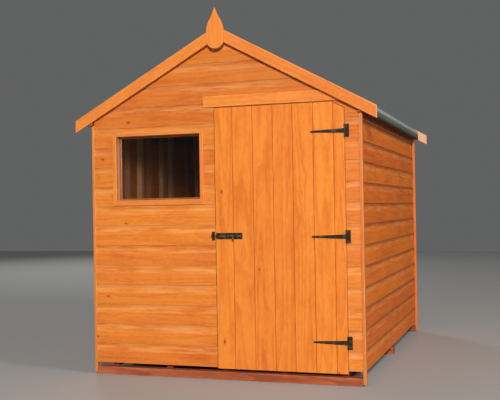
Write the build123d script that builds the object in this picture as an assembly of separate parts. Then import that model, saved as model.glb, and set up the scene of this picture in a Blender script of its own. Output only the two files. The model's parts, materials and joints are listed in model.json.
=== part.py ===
"""Wooden apex garden shed, 8 x 6 ft, with a ledged door on tee hinges and a sliding bolt.

Millimetres, +Z up. X runs across the front, Y runs from the front to the back.
The origin is at the middle of the shed's outline, on the ground.
Heights of sloping edges are given at the ridge, as if each edge ran on up to it.
"""
from build123d import *
import math
import os

# ---------------------------------------------------------------- driving sizes
# Overall
width = 1830                # over the corner strips
depth = 2370                # over the front and rear cladding
pitch = 28.7                # roof slope, degrees
eaves_height = 1730         # underside of the roof boards at the side cladding's face

# Ground and floor
bearer_height = 50
bearer_thickness = 63
bearer_end_gap = 22         # from the shed's outer side to a bearer's end
joist_count = 5             # floor joists, from front to back across the bearers
joist_width = 38
joist_height = 41
joist_end_setback = 30      # joist ends behind the face of the wall frames
joist_side_inset = 70       # from the floor's edge to the outer joists
floor_thickness = 12
floor_setback = 12          # floor edge behind the face of the wall frames

# Walls
cladding_thickness = 14
cladding_bottom = 78        # front and rear cladding
side_cladding_bottom = 72
frame_size = 38             # studs and rails, square
side_stud_count = 5
rear_stud_count = 4
strip_thickness = 20        # corner strips
strip_width = 32
strip_bottom = 10

# Roof
roof_board_thickness = 12
felt_thickness = 3
ridge_cap_reach = 150       # felt ridge cap, each way from the ridge
eaves_batten_width = 44
eaves_batten_depth = 75     # at the side cladding's face
purlin_from_ridge = 458     # across, to the purlin's upper edge
roof_end_overhang = 22      # roof boards past the gable cladding
barge_thickness = 20
barge_depth = 70            # square to the board
barge_stand = 5             # top of the bargeboard above the felt
barge_past_felt = 71        # plumb-cut tip beyond the felt's edge

# Finial
finial_thickness = 20
finial_rise = 114           # tip above the bargeboards' top at the ridge
finial_height = 260
finial_half_width = 56
finial_shoulder_drop = 155  # from the tip to the widest place
finial_hip_drop = 82        # from the tip, where each flank swells out
finial_hip_half = 38
finial_neck_drop = 46       # from the tip, where each flank is hollow
finial_neck_half = 18
finial_tip_lean = 0.42      # run over rise at the tip
finial_side_length = 62     # upright part of each edge

# Door
hinge_side_width = 83       # cladding between the door opening and the corner
door_width = 841
door_bottom = 70
door_top = 1728
door_thickness = 14
door_gap = 6                # clear all round the leaf
leaf_clearance = 37         # leaf's cut corner below the bargeboard's lower edge
ledge_depth = 90
ledge_thickness = 20
ledge_inset = 40            # ledge ends from the leaf's edges
brace_width = 70
stop_size = 14
stop_cover = 20

# Strip over the door
head_strip_past_door = 66   # beyond the door opening, on the window side
head_strip_height = 70
head_strip_thickness = 8
head_strip_lap = 15         # tucked up behind the bargeboard

# Window
window_corner = 165         # cladding between the corner and the window hole
window_to_door = 96         # cladding between the window hole and the door opening
window_bottom = 1150
window_top = 1572
trim_width = 25
trim_top_width = 20
sill_width = 34
trim_thickness = 10
glass_setback = 39          # from the cladding face
glass_thickness = 4
bead_width = 12

# Tee hinges
pin_to_leaf = 3             # pin centre from the leaf's edge
low_hinge_rise = 190        # above the leaf's foot
high_hinge_drop = 180       # below the leaf's top
plate_width = 27
plate_height = 80
plate_thickness = 3
knuckle_radius = 5
pin_radius = 2.5
pin_clearance = 0.3
knuckle_gap = 1
strap_length = 216
strap_root = 28
strap_tip = 11

# Bolt
bolt_height = 912
bolt_inset = 3              # plate from the leaf's edge
bolt_plate_length = 175
bolt_plate_height = 40
bolt_plate_thickness = 2.5
rod_radius = 5.5
rod_clearance = 0.5
rod_length = 174
rod_travel = 24
guide_length = 12
guide_wall = 3.5
keep_gap = 1                # keep from the door opening's edge
keep_width = 20
keep_height = 56
handle_radius = 4
handle_length = 30
handle_knob_radius = 6.5
handle_slope = 40           # degrees below level

# ---------------------------------------------------------------- worked out
slope = math.tan(math.radians(pitch))
upright = 1 / math.cos(math.radians(pitch))   # height of 1 mm measured square to the slope

face_x = width / 2 - strip_thickness          # outer face of the side cladding
frame_x = face_x - cladding_thickness         # outer face of the side frames
room_x = frame_x - frame_size                 # inner face of the side frames
batten_x = face_x + eaves_batten_width        # outer face of the eaves batten
felt_x = batten_x + felt_thickness
barge_x = felt_x + barge_past_felt            # plumb-cut tip of each bargeboard

barge_out = roof_end_overhang + barge_thickness
finial_out = barge_out + finial_thickness
front_face = -(depth + barge_out - finial_out) / 2
rear_face = front_face + depth
front_frame = front_face + cladding_thickness
rear_frame = rear_face - cladding_thickness
room_front = front_frame + frame_size
room_rear = rear_frame - frame_size
roof_front = front_face - roof_end_overhang
roof_rear = rear_face + roof_end_overhang

floor_low = bearer_height + joist_height      # also the foot of the hinge-side cladding
floor_top = floor_low + floor_thickness
rail_top = floor_top + frame_size
ridge_height = eaves_height + slope * face_x  # underside of the roof boards
board_top = ridge_height + roof_board_thickness * upright
felt_top = board_top + felt_thickness * upright
barge_top = felt_top + barge_stand * upright
barge_low = barge_top - barge_depth * upright
rafter_low = ridge_height - frame_size * upright
eaves_drop = eaves_height - eaves_batten_depth
eaves_rail_low = rafter_low - slope * frame_x
finial_tip = barge_top + finial_rise

frame_right = face_x - hinge_side_width       # door opening in cladding and frame
door_right = frame_right - door_gap
door_left = door_right - door_width
frame_left = door_left - door_gap
head_bottom = door_top + door_gap
leaf_corner_line = barge_low - leaf_clearance
opening_corner_line = leaf_corner_line + door_gap * upright
window_left = -face_x + window_corner
window_right = frame_left - window_to_door

hinge_line = door_right + pin_to_leaf
pin_y = front_face - knuckle_radius
hinge_low = door_bottom + low_hinge_rise
hinge_high = door_top - high_hinge_drop
hinge_heights = (hinge_low, (hinge_low + hinge_high) / 2, hinge_high)

guide_radius = rod_radius + rod_clearance + guide_wall
rod_y = front_face - guide_radius
bolt_left = door_left + bolt_inset
rod_tip = bolt_left - bolt_inset              # drawn back level with the leaf's edge
handle_gap = (rod_length - rod_travel - bolt_inset - 3 * guide_length) / 2


# ---------------------------------------------------------------- helpers
def slope_z(ridge, x):
    """Height at x of a line that falls from the ridge at the roof's pitch."""
    return ridge - slope * abs(x)


def block(x0, x1, y0, y1, z0, z1):
    """Square-sawn piece between two corners."""
    centre = ((x0 + x1) / 2, (y0 + y1) / 2, (z0 + z1) / 2)
    return Pos(*centre) * Box(x1 - x0, y1 - y0, z1 - z0)


def from_front(outline, y0, y1):
    """Extrude an outline drawn in X and Z from y0 back to y1."""
    corners = [Vector(x, y0, z) for x, z in outline]
    face = make_face(Polyline(*corners, close=True))
    return extrude(face, amount=y1 - y0, dir=(0, 1, 0))


def slope_strip(ridge_hi, ridge_lo, x0, x1, y0, y1):
    """Board that lies along one slope, with plumb-cut ends at x0 and x1."""
    outline = [(x0, slope_z(ridge_lo, x0)), (x1, slope_z(ridge_lo, x1)),
               (x1, slope_z(ridge_hi, x1)), (x0, slope_z(ridge_hi, x0))]
    return from_front(outline, y0, y1)


def under_roof(x0, x1, y0, y1, z0, z1, ridge):
    """Square-sawn piece with whatever stands above a roof line sawn off."""
    low = -width
    outline = [(-width, low), (width, low), (width, slope_z(ridge, width)),
               (0, ridge), (-width, slope_z(ridge, width))]
    return block(x0, x1, y0, y1, z0, z1) & from_front(outline, y0 - 1, y1 + 1)


def upright_cylinder(x, y, z0, z1, radius):
    return Pos(x, y, (z0 + z1) / 2) * Cylinder(radius, z1 - z0)


def along_x_cylinder(x0, x1, y, z, radius):
    return Pos((x0 + x1) / 2, y, z) * Rot(0, 90, 0) * Cylinder(radius, x1 - x0)


def mirrored(piece):
    return mirror(piece, about=Plane.YZ)


def spaced(first, last, count):
    """Evenly spaced places from first to last."""
    return [first + (last - first) * i / (count - 1) for i in range(count)]


def save(name, *pieces):
    shape = pieces[0] if len(pieces) == 1 else Compound(children=list(pieces))
    export_step(shape, f"parts/{name}.step")


# ---------------------------------------------------------------- ground and floor
def bearers():
    end = width / 2 - bearer_end_gap
    starts = spaced(front_face, rear_face - bearer_thickness, 3)
    return [block(-end, end, y, y + bearer_thickness, 0, bearer_height) for y in starts]


def floor_joists():
    side = frame_x - floor_setback - joist_side_inset
    return [block(x, x + joist_width, front_frame + joist_end_setback,
                  rear_frame - joist_end_setback, bearer_height, floor_low)
            for x in spaced(-side, side - joist_width, joist_count)]


def floor():
    side = frame_x - floor_setback
    return block(-side, side, front_frame + floor_setback, rear_frame - floor_setback,
                 floor_low, floor_top)


# ---------------------------------------------------------------- cladding
def door_opening():
    """Space in the front cladding for the leaf and its gap, open at the foot."""
    return under_roof(frame_left, frame_right, front_face - 1, front_frame + 1,
                      0, head_bottom, opening_corner_line)


def front_cladding_left():
    panel = under_roof(-face_x, frame_left, front_face, front_frame,
                       cladding_bottom, ridge_height, ridge_height)
    hole = block(window_left, window_right, front_face - 1, front_frame + 1,
                 window_bottom, window_top)
    return panel - hole


def hinge_side_top():
    """Where the narrow cladding stops, level with the opening's lowest top corner."""
    return min(head_bottom, slope_z(opening_corner_line, frame_right))


def front_gable_cladding():
    """Cladding over the door, with a short slope over the leaf's cut corner."""
    panel = under_roof(frame_left, face_x, front_face, front_frame,
                       hinge_side_top(), ridge_height, ridge_height)
    return panel - door_opening()


def front_cladding_right():
    return block(frame_right, face_x, front_face, front_frame,
                 floor_low, hinge_side_top())


def rear_cladding():
    return under_roof(-face_x, face_x, rear_frame, rear_face,
                      cladding_bottom, ridge_height, ridge_height)


def right_cladding():
    return under_roof(frame_x, face_x, front_frame, rear_frame,
                      side_cladding_bottom, ridge_height, ridge_height)


def corner_strip(y0):
    return block(face_x, face_x + strip_thickness, y0, y0 + strip_width,
                 strip_bottom, eaves_drop)


# ---------------------------------------------------------------- wall frames
def front_stud(x0, x1, foot):
    return under_roof(x0, x1, front_frame, room_front, foot, ridge_height, rafter_low)


def front_studs():
    """Corner stud, studs beside the window, door stud and hinge post."""
    return [front_stud(-frame_x, -room_x, rail_top),
            front_stud(window_left - frame_size, window_left, rail_top),
            front_stud(window_right, window_right + frame_size, rail_top),
            front_stud(frame_left - frame_size, frame_left, rail_top),
            front_stud(frame_right, frame_x, floor_top)]


def front_rails():
    """Bottom rail, window sill and head, and the rail over the door."""
    bottom = block(-frame_x, frame_left, front_frame, room_front, floor_top, rail_top)
    sill = block(window_left, window_right, front_frame, room_front,
                 window_bottom - frame_size, window_bottom)
    head = block(window_left, window_right, front_frame, room_front,
                 window_top, window_top + frame_size)
    over_door = under_roof(frame_left, frame_right, front_frame, room_front,
                           head_bottom, head_bottom + frame_size, rafter_low)
    return [bottom, sill, head, over_door]


def gable_rafter(y0, y1):
    half_joint = 0.5
    return slope_strip(ridge_height, rafter_low, half_joint, frame_x, y0, y1)


def door_stops():
    """Battens behind the leaf, on the jambs and the head."""
    y0 = front_face + door_thickness + door_gap
    y1 = y0 + stop_size
    stop_left = frame_left + stop_cover
    stop_right = frame_right - stop_cover
    head_low = head_bottom - stop_cover
    left = block(frame_left, stop_left, y0, y1, floor_top, head_bottom)
    right = block(stop_right, frame_right, y0, y1, floor_top, head_low - 1)
    top = block(stop_left + 1, stop_right, y0, y1, head_low, head_bottom)
    return [left, right, top]


def right_studs():
    starts = spaced(room_front, room_rear - frame_size, side_stud_count)
    return [block(room_x, frame_x, y, y + frame_size, rail_top, eaves_rail_low)
            for y in starts]


def right_rails():
    """Bottom rail and bevelled eaves rail."""
    bottom = block(room_x, frame_x, room_front, room_rear, floor_top, rail_top)
    eaves = under_roof(room_x, frame_x, room_front, room_rear,
                       eaves_rail_low, ridge_height, ridge_height)
    return [bottom, eaves]


def rear_studs():
    starts = spaced(-frame_x, room_x, rear_stud_count)
    return [under_roof(x, x + frame_size, room_rear, rear_frame,
                       rail_top, ridge_height, rafter_low) for x in starts]


def rear_bottom_rail():
    return block(-frame_x, frame_x, room_rear, rear_frame, floor_top, rail_top)


# ---------------------------------------------------------------- roof
def ridge_batten():
    half = frame_size / 2
    return under_roof(-half, half, room_front, room_rear,
                      ridge_height - 2 * frame_size, ridge_height, ridge_height)


def purlin():
    """Square purlin that lies flat against the roof boards."""
    run = frame_size * math.cos(math.radians(pitch))
    drop = frame_size * math.sin(math.radians(pitch))
    top_in = (purlin_from_ridge, slope_z(ridge_height, purlin_from_ridge))
    top_out = (top_in[0] + run, top_in[1] - drop)
    low_out = (top_out[0] - drop, top_out[1] - run)
    low_in = (top_in[0] - drop, top_in[1] - run)
    return from_front([low_in, low_out, top_out, top_in], room_front, room_rear)


def roof_boards():
    return slope_strip(board_top, ridge_height, 0, batten_x, roof_front, roof_rear)


def eaves_batten():
    return under_roof(face_x, batten_x, roof_front, roof_rear,
                      eaves_drop, ridge_height, ridge_height)


def felt():
    """Mineral felt on one slope, turned down over the eaves batten."""
    outline = [(0, board_top), (batten_x, slope_z(board_top, batten_x)),
               (batten_x, eaves_drop), (felt_x, eaves_drop),
               (felt_x, slope_z(felt_top, felt_x)), (0, felt_top)]
    return from_front(outline, roof_front, roof_rear)


def felt_ridge_cap():
    reach = ridge_cap_reach
    cap_top = felt_top + felt_thickness * upright
    outline = [(-reach, slope_z(felt_top, reach)), (0, felt_top),
               (reach, slope_z(felt_top, reach)), (reach, slope_z(cap_top, reach)),
               (0, cap_top), (-reach, slope_z(cap_top, reach))]
    return from_front(outline, roof_front, roof_rear)


def bargeboard(y0):
    return slope_strip(barge_top, barge_low, 0, barge_x, y0, y0 + barge_thickness)


def finial():
    """Spear-shaped board over the joint of the front bargeboards."""
    y0 = front_face - finial_out
    half = finial_half_width
    shoulder = finial_tip - finial_shoulder_drop
    hip = finial_tip - finial_hip_drop
    neck = finial_tip - finial_neck_drop
    foot = shoulder - finial_side_length

    def at(x, z):
        return Vector(x, y0, z)

    right_flank = Spline(at(half, shoulder), at(finial_hip_half, hip),
                         at(finial_neck_half, neck), at(0, finial_tip),
                         tangents=[(0, 0, 1), (-finial_tip_lean, 0, 1)])
    left_flank = Spline(at(0, finial_tip), at(-finial_neck_half, neck),
                        at(-finial_hip_half, hip), at(-half, shoulder),
                        tangents=[(-finial_tip_lean, 0, -1), (0, 0, -1)])
    left_side = Line(at(-half, shoulder), at(-half, foot))
    bottom = ThreePointArc(at(-half, foot), at(0, finial_tip - finial_height),
                           at(half, foot))
    right_side = Line(at(half, foot), at(half, shoulder))
    face = make_face([right_flank, left_flank, left_side, bottom, right_side])
    return extrude(face, amount=finial_thickness, dir=(0, 1, 0))


# ---------------------------------------------------------------- window
def window_trim():
    outer = block(window_left - trim_width, window_right + trim_width,
                  front_face - trim_thickness, front_face,
                  window_bottom - sill_width, window_top + trim_top_width)
    hole = block(window_left, window_right, front_face - trim_thickness - 1, front_face + 1,
                 window_bottom, window_top)
    return outer - hole


def window_glass():
    y0 = front_face + glass_setback
    return block(window_left, window_right, y0, y0 + glass_thickness,
                 window_bottom, window_top)


def window_beads():
    y0 = front_face + glass_setback + glass_thickness
    outer = block(window_left, window_right, y0, room_front, window_bottom, window_top)
    hole = block(window_left + bead_width, window_right - bead_width, y0 - 1, room_front + 1,
                 window_bottom + bead_width, window_top - bead_width)
    return outer - hole


# ---------------------------------------------------------------- door
def door_head_strip():
    return under_roof(frame_left - head_strip_past_door, face_x,
                      front_face - head_strip_thickness, front_face,
                      head_bottom, head_bottom + head_strip_height,
                      barge_low + head_strip_lap)


def door_leaf():
    """Leaf of upright boards, its hinge corner cut to the roof's slope."""
    return under_roof(door_left, door_right, front_face, front_face + door_thickness,
                      door_bottom, door_top, leaf_corner_line)


def door_ledges():
    y0 = front_face + door_thickness
    half = ledge_depth / 2
    return [block(door_left + ledge_inset, door_right - ledge_inset,
                  y0, y0 + ledge_thickness, z - half, z + half) for z in hinge_heights]


def door_brace(low_hinge, high_hinge):
    """Brace that rises from the hinge side of one ledge to the free side of the next."""
    y0 = front_face + door_thickness
    z0 = low_hinge + ledge_depth / 2
    z1 = high_hinge - ledge_depth / 2
    foot_right = door_right - ledge_inset - brace_width / 2
    top_left = door_left + ledge_inset + brace_width / 2
    outline = [(foot_right - brace_width, z0), (foot_right, z0),
               (top_left + brace_width, z1), (top_left, z1)]
    return from_front(outline, y0, y0 + ledge_thickness)


def door_braces():
    return [door_brace(low, high) for low, high in zip(hinge_heights, hinge_heights[1:])]


# ---------------------------------------------------------------- tee hinges
def hinge_plate(centre):
    """Butt plate with its two outer knuckles and the pin."""
    low = centre - plate_height / 2
    high = centre + plate_height / 2
    gap_low = centre - strap_root / 2 - knuckle_gap
    gap_high = centre + strap_root / 2 + knuckle_gap
    plate = block(hinge_line, hinge_line + plate_width,
                  front_face - plate_thickness, front_face, low, high)
    knuckles = upright_cylinder(hinge_line, pin_y, low, high, knuckle_radius)
    notch = upright_cylinder(hinge_line, pin_y, gap_low, gap_high,
                             knuckle_radius + knuckle_gap)
    pin = upright_cylinder(hinge_line, pin_y, low, high, pin_radius)
    return plate + knuckles - notch + pin


def hinge_strap(centre):
    """Tapered strap with a rounded tip and the middle knuckle."""
    low = centre - strap_root / 2
    high = centre + strap_root / 2
    tip_low = centre - strap_tip / 2
    tip_high = centre + strap_tip / 2
    tip_x = hinge_line - strap_length
    round_x = tip_x + strap_tip / 2

    def at(x, z):
        return Vector(x, front_face - plate_thickness, z)

    outline = [Line(at(hinge_line, low), at(round_x, tip_low)),
               ThreePointArc(at(round_x, tip_low), at(tip_x, centre), at(round_x, tip_high)),
               Line(at(round_x, tip_high), at(hinge_line, high)),
               Line(at(hinge_line, high), at(hinge_line, low))]
    strap = extrude(make_face(outline), amount=plate_thickness, dir=(0, 1, 0))
    knuckle = upright_cylinder(hinge_line, pin_y, low, high, knuckle_radius)
    bore = upright_cylinder(hinge_line, pin_y, low - 1, high + 1, pin_radius + pin_clearance)
    return strap + knuckle - bore


# ---------------------------------------------------------------- bolt
def rod_guide(x0, length):
    """Staple over the rod: a rounded loop on square feet."""
    feet = block(x0, x0 + length, rod_y, front_face,
                 bolt_height - guide_radius, bolt_height + guide_radius)
    loop = feet + along_x_cylinder(x0, x0 + length, rod_y, bolt_height, guide_radius)
    return loop - along_x_cylinder(x0 - 1, x0 + length + 1, rod_y, bolt_height,
                                   rod_radius + rod_clearance)


def guide_starts():
    """Left edges of the three guides, with the handle between the last two."""
    step = guide_length + handle_gap
    return [bolt_left + step * i for i in range(3)]


def bolt_plate():
    """Plate on the leaf with the guides that carry the rod."""
    plate = block(bolt_left, bolt_left + bolt_plate_length,
                  front_face - bolt_plate_thickness, front_face,
                  bolt_height - bolt_plate_height / 2, bolt_height + bolt_plate_height / 2)
    for x0 in guide_starts():
        plate += rod_guide(x0, guide_length)
    return plate


def bolt_keep():
    """Keep on the cladding beside the leaf."""
    x1 = frame_left - keep_gap
    x0 = x1 - keep_width
    plate = block(x0, x1, front_face - bolt_plate_thickness, front_face,
                  bolt_height - keep_height / 2, bolt_height + keep_height / 2)
    return plate + rod_guide(x0, keep_width)


def bolt_rod():
    """Round rod with a knobbed handle that hangs out and down between two guides."""
    rod = along_x_cylinder(rod_tip, rod_tip + rod_length, rod_y, bolt_height, rod_radius)
    last_guide = guide_starts()[-1]
    handle_x = last_guide - handle_gap / 2 + rod_travel / 2
    out = math.cos(math.radians(handle_slope))
    down = math.sin(math.radians(handle_slope))
    half = handle_length / 2
    middle = Pos(handle_x, rod_y - half * out, bolt_height - half * down)
    handle = middle * Rot(90 + handle_slope, 0, 0) * Cylinder(handle_radius, handle_length)
    knob = Pos(handle_x, rod_y - handle_length * out,
               bolt_height - handle_length * down) * Sphere(handle_knob_radius)
    return rod + handle + knob


# ---------------------------------------------------------------- write the pieces
def write_base():
    save("bearers", *bearers())
    save("floor_joists", *floor_joists())
    save("floor", floor())


def write_walls():
    save("front_cladding_left", front_cladding_left())
    save("front_cladding_right", front_cladding_right())
    save("front_gable_cladding", front_gable_cladding())
    save("rear_cladding", rear_cladding())
    save("right_cladding", right_cladding())
    save("left_cladding", mirrored(right_cladding()))
    for end, y0 in (("front", front_face), ("rear", rear_face - strip_width)):
        strip = corner_strip(y0)
        save(f"{end}_right_corner_strip", strip)
        save(f"{end}_left_corner_strip", mirrored(strip))


def write_frames():
    save("front_studs", *front_studs())
    save("front_rails", *front_rails())
    save("door_stops", *door_stops())
    save("right_studs", *right_studs())
    save("right_rails", *right_rails())
    save("left_studs", *[mirrored(stud) for stud in right_studs()])
    save("left_rails", *[mirrored(rail) for rail in right_rails()])
    save("rear_studs", *rear_studs())
    save("rear_bottom_rail", rear_bottom_rail())
    for end, y0 in (("front", front_frame), ("rear", room_rear)):
        rafter = gable_rafter(y0, y0 + frame_size)
        save(f"{end}_rafters", rafter, mirrored(rafter))


def write_roof():
    save("ridge_batten", ridge_batten())
    save("purlins", purlin(), mirrored(purlin()))
    for name, piece in (("roof_boards", roof_boards()), ("eaves_batten", eaves_batten()),
                        ("felt", felt())):
        save(f"right_{name}", piece)
        save(f"left_{name}", mirrored(piece))
    save("felt_ridge_cap", felt_ridge_cap())
    for end, y0 in (("front", front_face - barge_out), ("rear", roof_rear)):
        board = bargeboard(y0)
        save(f"{end}_right_bargeboard", board)
        save(f"{end}_left_bargeboard", mirrored(board))
    save("finial", finial())


def write_window_and_door():
    save("window_trim", window_trim())
    save("window_glass", window_glass())
    save("window_beads", window_beads())
    save("door_head_strip", door_head_strip())
    save("door_leaf", door_leaf())
    save("door_ledges", *door_ledges())
    save("door_braces", *door_braces())
    save("hinge_plates", *[hinge_plate(z) for z in hinge_heights])
    save("hinge_straps", *[hinge_strap(z) for z in hinge_heights])
    save("bolt_keep", bolt_keep())
    save("bolt_plate", bolt_plate())
    save("bolt_rod", bolt_rod())


os.makedirs("parts", exist_ok=True)
write_base()
write_walls()
write_frames()
write_roof()
write_window_and_door()
print("door hinge pin at", hinge_line, pin_y, "bolt rod at", rod_y, bolt_height)
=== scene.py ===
# %% [markdown]
# # A wooden garden shed, board by board
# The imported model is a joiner's drawing: every part has its true size and place, but
# each wall is one flat panel. This notebook lays the boards, drives the nails and
# screws, and gives each timber, the felt, the glass and the ironwork its own finish.
# Sizes are in metres. X runs across the front, Y to the back, and Z is up.

# %% Load the frame
import json
import random
from math import cos, pi, radians, sin, tan
import bmesh
import bpy
from mathutils import Matrix, Vector, noise


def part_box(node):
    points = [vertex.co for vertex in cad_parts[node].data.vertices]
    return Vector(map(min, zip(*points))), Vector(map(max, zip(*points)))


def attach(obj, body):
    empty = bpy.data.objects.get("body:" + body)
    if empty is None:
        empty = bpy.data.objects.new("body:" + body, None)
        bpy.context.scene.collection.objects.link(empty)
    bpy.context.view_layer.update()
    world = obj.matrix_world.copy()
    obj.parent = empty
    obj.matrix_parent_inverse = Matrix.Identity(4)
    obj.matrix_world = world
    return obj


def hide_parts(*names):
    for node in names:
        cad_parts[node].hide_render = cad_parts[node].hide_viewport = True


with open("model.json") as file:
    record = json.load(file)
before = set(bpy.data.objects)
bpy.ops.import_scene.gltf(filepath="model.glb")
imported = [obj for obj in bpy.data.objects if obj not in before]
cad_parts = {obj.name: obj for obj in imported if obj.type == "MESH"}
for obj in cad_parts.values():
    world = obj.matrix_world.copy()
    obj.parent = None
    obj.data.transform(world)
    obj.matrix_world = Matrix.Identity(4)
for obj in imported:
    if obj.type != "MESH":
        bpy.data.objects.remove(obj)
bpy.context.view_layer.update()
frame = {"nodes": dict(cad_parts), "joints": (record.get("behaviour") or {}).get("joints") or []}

# %% [markdown]
# Places are measured on the parts. Several pieces share the roof's pitch, so it is
# written once, with its rise for each metre across.

# %% Measure the shed
pitch = radians(28.7)
rise = tan(pitch)
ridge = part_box("ridge_batten")[1].z
front_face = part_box("front_cladding_left")[0].y
rear_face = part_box("rear_cladding")[1].y
side_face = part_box("right_cladding")[1].x
thickness = side_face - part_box("right_cladding")[0].x
print("ridge", round(ridge, 3), "cladding", round(thickness, 4), "thick")

# %% [markdown]
# ## Making timber
# A sawn timber is a scaled cube. A saw cut is a plane that takes away everything
# beyond it; Blender leaves the cut open, so the hole is filled at once. Real timber
# has no knife edge, so a narrow bevel on each sharp edge catches the light.

# %% Blocks, saw cuts and eased edges
sharp_angle = radians(35)


def block(low, high):
    """Square-sawn timber between two corners."""
    bm = bmesh.new()
    bmesh.ops.create_cube(bm, size=1.0)
    bmesh.ops.scale(bm, vec=Vector(high) - Vector(low), verts=bm.verts)
    bmesh.ops.translate(bm, vec=(Vector(high) + Vector(low)) / 2, verts=bm.verts)
    return bm


def saw(bm, point, outward):
    """Take away what lies beyond a plane and close the cut."""
    everything = bm.verts[:] + bm.edges[:] + bm.faces[:]
    bmesh.ops.bisect_plane(bm, geom=everything, dist=1e-6, plane_co=point,
                           plane_no=outward, clear_outer=True)
    open_edges = [edge for edge in bm.edges if edge.is_boundary]
    if open_edges:
        bmesh.ops.holes_fill(bm, edges=open_edges, sides=0)


def is_sharp(edge):
    return len(edge.link_faces) == 2 and edge.calc_face_angle() > sharp_angle


def ease(bm, radius, chosen=is_sharp):
    """Round the chosen edges and mark the new faces as arris, where the stain wears."""
    arris = bm.faces.layers.float.get("arris") or bm.faces.layers.float.new("arris")
    edges = [edge for edge in bm.edges if chosen(edge)]
    rounded = bmesh.ops.bevel(bm, geom=edges, offset=radius, affect="EDGES", segments=2,
                              profile=0.5, material=-1, clamp_overlap=True)
    for face in rounded["faces"]:
        face[arris] = 1.0


sample = block((0, 0, 0), (1, 1, 1))
ease(sample, 0.01)
print("a block with eased edges has", len(sample.faces), "faces")
sample.free()

# %% [markdown]
# Boards are made one by one and gathered into one mesh for each wall or leaf. What no
# plane can cut is taken out with the Boolean modifier, whose exact solver copes with
# many boards at once.

# %% Gather boards and carve openings
def gather(boards):
    whole = bmesh.new()
    for board in boards:
        part = bpy.data.meshes.new("board")
        board.to_mesh(part)
        board.free()
        whole.from_mesh(part)
        bpy.data.meshes.remove(part)
    return whole


def new_object(name, data):
    made = bpy.data.objects.new(name, data)
    bpy.context.scene.collection.objects.link(made)
    return made


def loose_object(bm, name):
    """A plain object made from a bmesh, which is used up."""
    mesh = bpy.data.meshes.new(name)
    bm.to_mesh(mesh)
    bm.free()
    return new_object(name, mesh)


def carve(bm, cutter):
    work = loose_object(bm, "work")
    tool = loose_object(cutter, "tool")
    cut = work.modifiers.new("cut", "BOOLEAN")
    cut.operation = "DIFFERENCE"
    cut.solver = "EXACT"
    cut.object = tool
    carved = bmesh.new()
    carved.from_object(work, bpy.context.evaluated_depsgraph_get())
    for spent in (work, tool):
        bpy.data.meshes.remove(spent.data)
    return carved

# %% [markdown]
# Wood has a direction, so its pattern has to follow each board and not the world. Each
# face corner keeps its place in its own board as a vector named grain. Every board is
# moved 10 m further along, so no two show the same knots.

# %% Grain for each board
board_stride = 10
end_facing = 0.8


def islands(bm):
    """The separate boards, as lists of faces."""
    unseen = set(bm.faces)
    while unseen:
        board, to_visit = [], [unseen.pop()]
        while to_visit:
            face = to_visit.pop()
            board.append(face)
            for edge in face.edges:
                for near in edge.link_faces:
                    if near in unseen:
                        unseen.discard(near)
                        to_visit.append(near)
        yield board


def mark_grain(bm, along, first=0):
    """Write each corner's place in its board: along, across, through. Mark the cut ends."""
    order = {"X": (0, 2, 1), "Y": (1, 2, 0), "Z": (2, 0, 1)}[along]
    layer = bm.loops.layers.float_vector.new("grain")
    ends = bm.faces.layers.float.new("end_grain")
    for face in bm.faces:
        face[ends] = float(abs(face.normal[order[0]]) > end_facing)
    boards = sorted(islands(bm), key=lambda faces: min(
        (round(vert.co.z, 4), round(vert.co.x, 4), round(vert.co.y, 4))
        for face in faces for vert in face.verts))
    for number, faces in enumerate(boards, start=first + 1):
        shift = board_stride * (number + 0.5)
        for face in faces:
            for corner in face.loops:
                place = corner.vert.co
                corner[layer] = (place[order[0]] + shift, place[order[1]], place[order[2]])
    return len(boards)

# %% [markdown]
# A finished piece is set in place, rides on its body and hides the plain part it stands
# for. Weighted normals keep wide faces flat while the eased edges shade softly.

# %% Finish a piece
smooth_angle = radians(50)


def fit(name, bm, material, slot, nodes=(), body="shed", turn=Matrix.Identity(4), smooth=True):
    bm.transform(turn)
    bmesh.ops.recalc_face_normals(bm, faces=bm.faces)
    for face in bm.faces:
        face.smooth = smooth
    piece = loose_object(bm, name)
    piece.data.materials.append(material)
    if smooth:
        piece.data.set_sharp_from_angle(angle=smooth_angle)
        shading = piece.modifiers.new("even shading", "WEIGHTED_NORMAL")
        shading.keep_sharp = True
    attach(piece, body)
    if nodes:
        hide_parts(*nodes)
    print(f"{name}: {len(piece.data.polygons)} faces")
    return piece

# %% [markdown]
# ## Finishes
# A material is a small network of nodes. The class below keeps it short to write: a
# number or a colour sets a socket, and another node's output is linked to it.

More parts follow.
